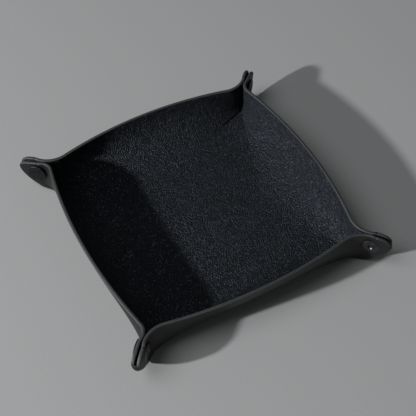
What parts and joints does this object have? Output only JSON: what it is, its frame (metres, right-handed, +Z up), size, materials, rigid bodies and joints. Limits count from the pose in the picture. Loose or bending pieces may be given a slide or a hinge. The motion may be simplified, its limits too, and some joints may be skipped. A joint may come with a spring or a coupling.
{
  "type": "valet tray",
  "caption": "Square black leather tray with soft upturned walls, its corners pinched into fins by snap fasteners so that it opens out flat.",
  "frame": {"origin": "on the ground under the middle of the floor", "axes": "+Z up, -Y to the front wall, +X to the right wall"},
  "size_m": [0.2062, 0.2062, 0.0315],
  "materials": {
    "leather": "pebbled inside, smooth satin outside",
    "snap_metal": "gunmetal, satin",
    "spring_wire": "bright wire"
  },
  "bodies": {
    "floor": {"floor_panel": "leather"},
    "front_side": {"front_wall": "leather"},
    "front_side_right_ear": {"front_wall_right_ear": "leather", "snap_stud_front_right": "snap_metal", "snap_eyelet_front_right": "snap_metal"},
    "front_side_left_ear": {"front_wall_left_ear": "leather", "snap_stud_front_left": "snap_metal", "snap_eyelet_front_left": "snap_metal"},
    "right_side": {"right_wall": "leather"},
    "right_side_back_ear": {"right_wall_back_ear": "leather", "snap_cap_back_right": "snap_metal", "snap_socket_back_right": "snap_metal", "snap_spring_back_right": "spring_wire"},
    "right_side_front_ear": {"right_wall_front_ear": "leather", "snap_cap_front_right": "snap_metal", "snap_socket_front_right": "snap_metal", "snap_spring_front_right": "spring_wire"},
    "back_side": {"back_wall": "leather"},
    "back_side_left_ear": {"back_wall_left_ear": "leather", "snap_stud_back_left": "snap_metal", "snap_eyelet_back_left": "snap_metal"},
    "back_side_right_ear": {"back_wall_right_ear": "leather", "snap_stud_back_right": "snap_metal", "snap_eyelet_back_right": "snap_metal"},
    "left_side": {"left_wall": "leather"},
    "left_side_front_ear": {"left_wall_front_ear": "leather", "snap_cap_front_left": "snap_metal", "snap_socket_front_left": "snap_metal", "snap_spring_front_left": "spring_wire"},
    "left_side_back_ear": {"left_wall_back_ear": "leather", "snap_cap_back_left": "snap_metal", "snap_socket_back_left": "snap_metal", "snap_spring_back_left": "spring_wire"}
  },
  "joints": [
    {"name": "front_wall_fold", "type": "hinge", "parent": "floor", "child": "front_side", "pos_m": [0, -0.08775, 0.00434], "axis": [1, 0, 0], "range_deg": [0, 80], "deforming": ["snap_spring_front_right", "snap_spring_front_left", "snap_spring_back_right", "snap_spring_back_left"]},
    {"name": "front_wall_right_ear_fold", "type": "hinge", "parent": "front_side", "child": "front_side_right_ear", "pos_m": [0.0839, -0.08561, 0.00541], "axis": [-0.1163, 0.1163, 0.9864], "range_deg": [0, 32]},
    {"name": "front_wall_left_ear_fold", "type": "hinge", "parent": "front_side", "child": "front_side_left_ear", "pos_m": [-0.0839, -0.08561, 0.00541], "axis": [-0.1163, -0.1163, -0.9864], "range_deg": [0, 32]},
    {"name": "right_wall_fold", "type": "hinge", "parent": "floor", "child": "right_side", "pos_m": [0.08775, 0, 0.00434], "axis": [0, 1, 0], "range_deg": [0, 80]},
    {"name": "right_wall_back_ear_fold", "type": "hinge", "parent": "right_side", "child": "right_side_back_ear", "pos_m": [0.08561, 0.0839, 0.00541], "axis": [-0.1163, -0.1163, 0.9864], "range_deg": [0, 32]},
    {"name": "right_wall_front_ear_fold", "type": "hinge", "parent": "right_side", "child": "right_side_front_ear", "pos_m": [0.08561, -0.0839, 0.00541], "axis": [0.1163, -0.1163, -0.9864], "range_deg": [0, 32]},
    {"name": "back_wall_fold", "type": "hinge", "parent": "floor", "child": "back_side", "pos_m": [0, 0.08775, 0.00434], "axis": [-1, 0, 0], "range_deg": [0, 80]},
    {"name": "back_wall_left_ear_fold", "type": "hinge", "parent": "back_side", "child": "back_side_left_ear", "pos_m": [-0.0839, 0.08561, 0.00541], "axis": [0.1163, -0.1163, 0.9864], "range_deg": [0, 32]},
    {"name": "back_wall_right_ear_fold", "type": "hinge", "parent": "back_side", "child": "back_side_right_ear", "pos_m": [0.0839, 0.08561, 0.00541], "axis": [0.1163, 0.1163, -0.9864], "range_deg": [0, 32]},
    {"name": "left_wall_fold", "type": "hinge", "parent": "floor", "child": "left_side", "pos_m": [-0.08775, 0, 0.00434], "axis": [0, -1, 0], "range_deg": [0, 80]},
    {"name": "left_wall_front_ear_fold", "type": "hinge", "parent": "left_side", "child": "left_side_front_ear", "pos_m": [-0.08561, -0.0839, 0.00541], "axis": [0.1163, 0.1163, 0.9864], "range_deg": [0, 32]},
    {"name": "left_wall_back_ear_fold", "type": "hinge", "parent": "left_side", "child": "left_side_back_ear", "pos_m": [-0.08561, 0.0839, 0.00541], "axis": [-0.1163, 0.1163, -0.9864], "range_deg": [0, 32]}
  ],
  "couplings": [
    {"joint": "front_wall_right_ear_fold", "follows": "front_wall_fold", "ratio": 0.4},
    {"joint": "front_wall_left_ear_fold", "follows": "front_wall_fold", "ratio": 0.4},
    {"joint": "right_wall_fold", "follows": "front_wall_fold", "ratio": 1},
    {"joint": "right_wall_back_ear_fold", "follows": "front_wall_fold", "ratio": 0.4},
    {"joint": "right_wall_front_ear_fold", "follows": "front_wall_fold", "ratio": 0.4},
    {"joint": "back_wall_fold", "follows": "front_wall_fold", "ratio": 1},
    {"joint": "back_wall_left_ear_fold", "follows": "front_wall_fold", "ratio": 0.4},
    {"joint": "back_wall_right_ear_fold", "follows": "front_wall_fold", "ratio": 0.4},
    {"joint": "left_wall_fold", "follows": "front_wall_fold", "ratio": 1},
    {"joint": "left_wall_front_ear_fold", "follows": "front_wall_fold", "ratio": 0.4},
    {"joint": "left_wall_back_ear_fold", "follows": "front_wall_fold", "ratio": 0.4}
  ]
}
